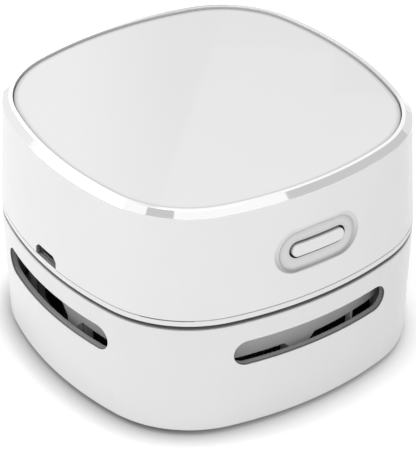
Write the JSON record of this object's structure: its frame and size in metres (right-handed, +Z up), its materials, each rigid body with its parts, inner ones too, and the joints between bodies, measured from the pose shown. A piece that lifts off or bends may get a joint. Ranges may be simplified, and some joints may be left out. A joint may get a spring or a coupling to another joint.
{
  "type": "desktop mini vacuum cleaner",
  "caption": "Palm-sized desk vacuum with a rounded-square two-part body, press button, side exhaust slots, inner dust cup and battery-driven impeller.",
  "frame": {"origin": "on the desk, under the middle of the body", "axes": "+Z up; the button faces -Y and the charging socket faces -X"},
  "size_m": [0.085, 0.085, 0.0575],
  "materials": {
    "white_shell": "gloss moulded ABS",
    "panel_grey": "pale grey gloss plate",
    "cup_grey": "fine satin moulding",
    "screen_black": "fine nylon mesh",
    "seal_rubber": "soft silicone",
    "foot_rubber": "soft matt rubber",
    "nozzle_plastic": "satin moulding",
    "brush_plastic": "plain moulding",
    "bristle_nylon": "fine filaments",
    "adhesive": "film",
    "screw_steel": "plated",
    "can_steel": "plated sheet",
    "shaft_steel": "ground",
    "magnet": "sintered ferrite",
    "armature": "laminations",
    "brass": "stamped",
    "motor_nylon": "moulded nylon",
    "impeller_plastic": "satin moulding",
    "board_green": "solder mask",
    "chip_black": "epoxy",
    "ceramic": "ceramic bodies",
    "socket_steel": "plated shell",
    "cell_wrap": "shrink sleeve",
    "tape": "polyimide tape",
    "lead_red": "silicone sleeve",
    "lead_black": "silicone sleeve",
    "switch_black": "moulding"
  },
  "bodies": {
    "lower_unit": {"lower_casing": "white_shell", "dust_cup": "cup_grey", "filter_screen": "screen_black", "nozzle_plate": "nozzle_plastic", "brush_base": "brush_plastic", "brush_bristles": "bristle_nylon", "rubber_feet": "foot_rubber", "cup_screws": "screw_steel", "nozzle_screws": "screw_steel"},
    "upper_unit": {"upper_casing": "white_shell", "top_panel": "panel_grey", "panel_adhesive": "adhesive", "motor_deck": "white_shell", "seal_ring": "seal_rubber", "casing_screws": "screw_steel", "tact_switch": "switch_black", "switch_board": "board_green", "switch_board_screws": "screw_steel", "main_board": "board_green", "board_screws": "screw_steel", "usb_shell": "socket_steel", "usb_tongue": "chip_black", "charge_chip": "chip_black", "motor_transistor": "chip_black", "board_passives": "ceramic", "motor_can": "can_steel", "motor_end_cap": "motor_nylon", "motor_terminals": "brass", "motor_magnets": "magnet", "motor_screws": "screw_steel", "battery_cell": "cell_wrap", "battery_guard": "board_green", "battery_tape": "tape", "motor_lead_red": "lead_red", "motor_lead_black": "lead_black", "battery_lead_red": "lead_red", "battery_lead_black": "lead_black", "switch_leads": "lead_black"},
    "power_button": {"power_button": "white_shell", "switch_plunger": "chip_black"},
    "rotor": {"motor_shaft": "shaft_steel", "motor_armature": "armature", "impeller": "impeller_plastic"}
  },
  "joints": [
    {"name": "lift_off", "type": "slide", "parent": "lower_unit", "child": "upper_unit", "axis": [0, 0, 1], "range_m": [0, 0.045]},
    {"name": "button_press", "type": "slide", "parent": "upper_unit", "child": "power_button", "axis": [0, 1, 0], "range_m": [0, 0.0005], "stiffness_N_per_m": 1200},
    {"name": "impeller_spin", "type": "hinge", "parent": "upper_unit", "child": "rotor", "pos_m": [0, 0, 0.0216], "axis": [0, 0, 1], "continuous": true}
  ]
}
